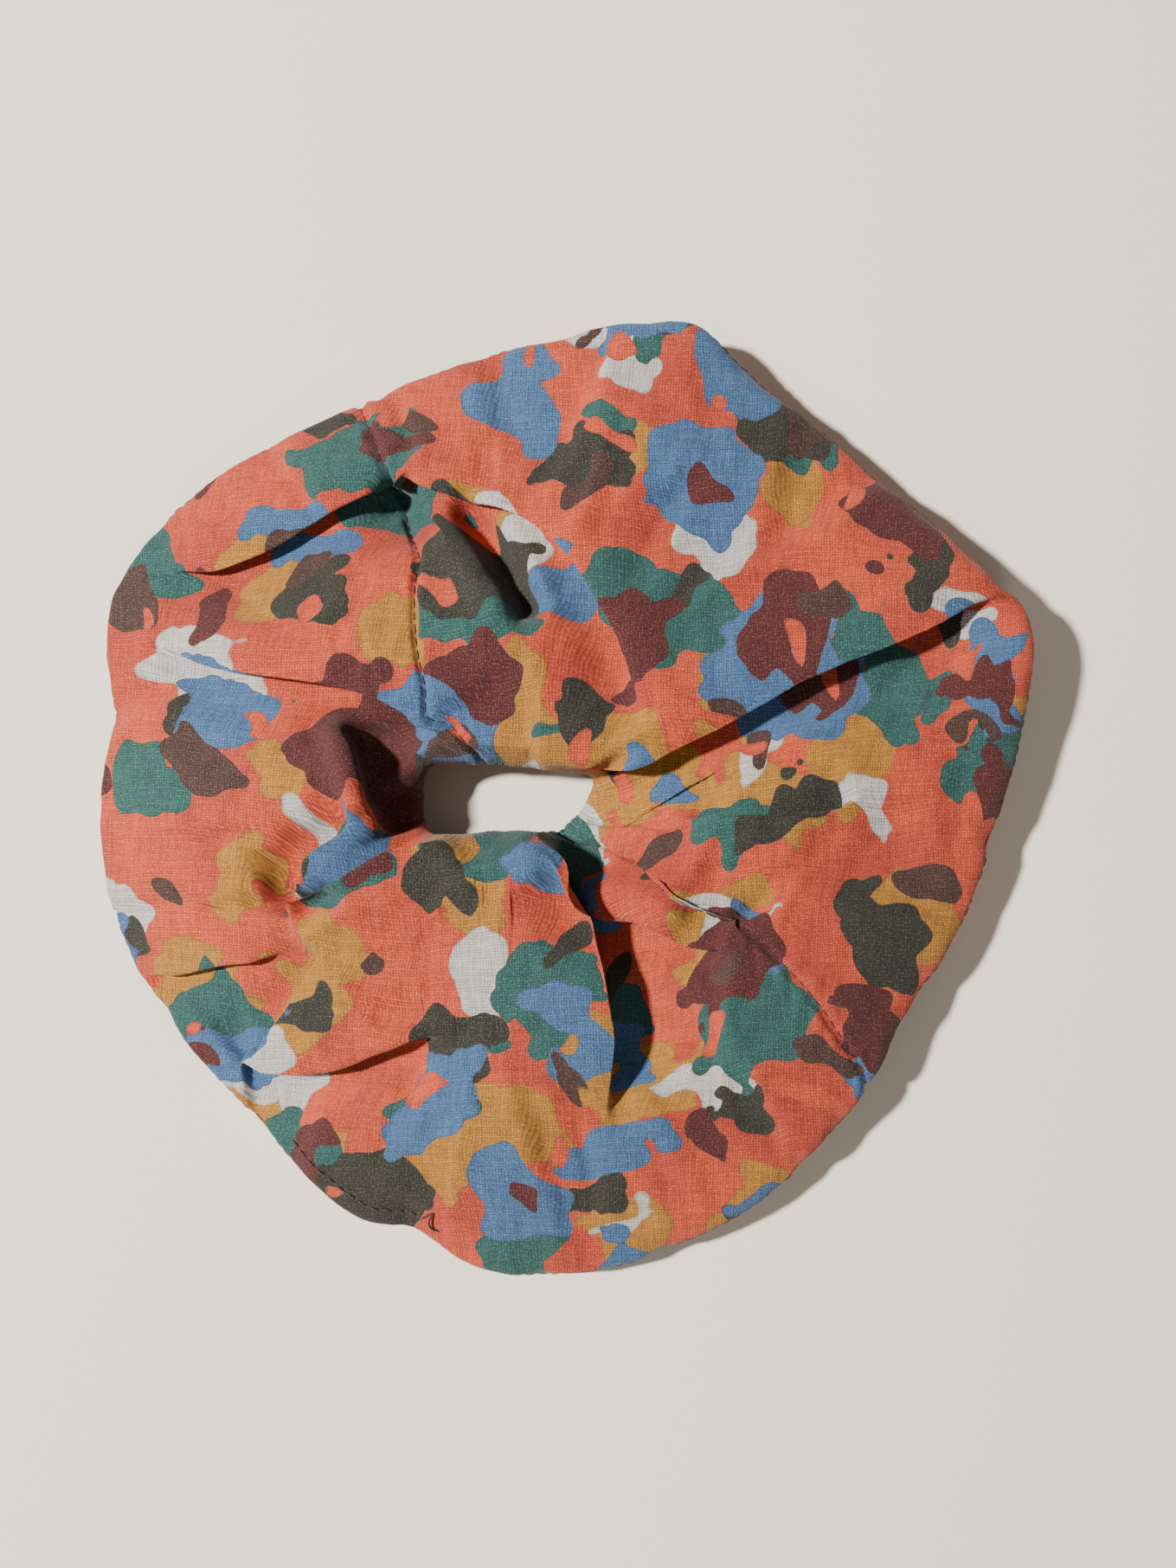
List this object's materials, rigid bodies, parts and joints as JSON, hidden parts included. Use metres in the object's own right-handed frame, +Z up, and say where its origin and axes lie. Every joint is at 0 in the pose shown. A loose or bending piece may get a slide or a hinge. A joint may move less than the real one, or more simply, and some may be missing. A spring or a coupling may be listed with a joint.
{
  "type": "hair scrunchie",
  "caption": "Large round hair scrunchie: printed cotton tube gathered on a hidden loop of flat elastic, lying flat with a hole for the hair.",
  "frame": {"origin": "middle of the outline as seen from above, on the surface that the scrunchie lies on", "axes": "+Z up out of the surface, along the hole; +Y along the outline's longest side, away from the edge with the closing stitches; +X to the right seen from above"},
  "size_m": [0.1714, 0.1748, 0.0215],
  "materials": {
    "printed_cotton": "plain-weave cotton with an all-over print of coral, ochre, teal, blue and dark green patches",
    "braided_elastic": "flat braided elastic, off-white",
    "dark_thread": "spun polyester sewing thread, dark maroon",
    "plain_thread": "spun polyester sewing thread, off-white"
  },
  "bodies": {
    "lower_side": {"cover_panel_lower": "printed_cotton", "elastic_band": "braided_elastic", "elastic_lap_needle_thread": "plain_thread", "elastic_lap_bobbin_thread": "plain_thread", "end_seam_thread_left": "dark_thread", "end_seam_thread_right": "dark_thread", "long_seam_thread_lower": "dark_thread", "closing_needle_thread": "dark_thread", "closing_bobbin_thread": "dark_thread"},
    "upper_side": {"cover_panel_upper": "printed_cotton", "long_seam_thread_upper": "dark_thread"}
  },
  "joints": [
    {"name": "stretch", "type": "slide", "parent": "lower_side", "child": "upper_side", "axis": [0.7826, 0.6225, 0], "range_m": [0, 0.04], "stiffness_N_per_m": 60, "deforming": ["elastic_band"]}
  ]
}
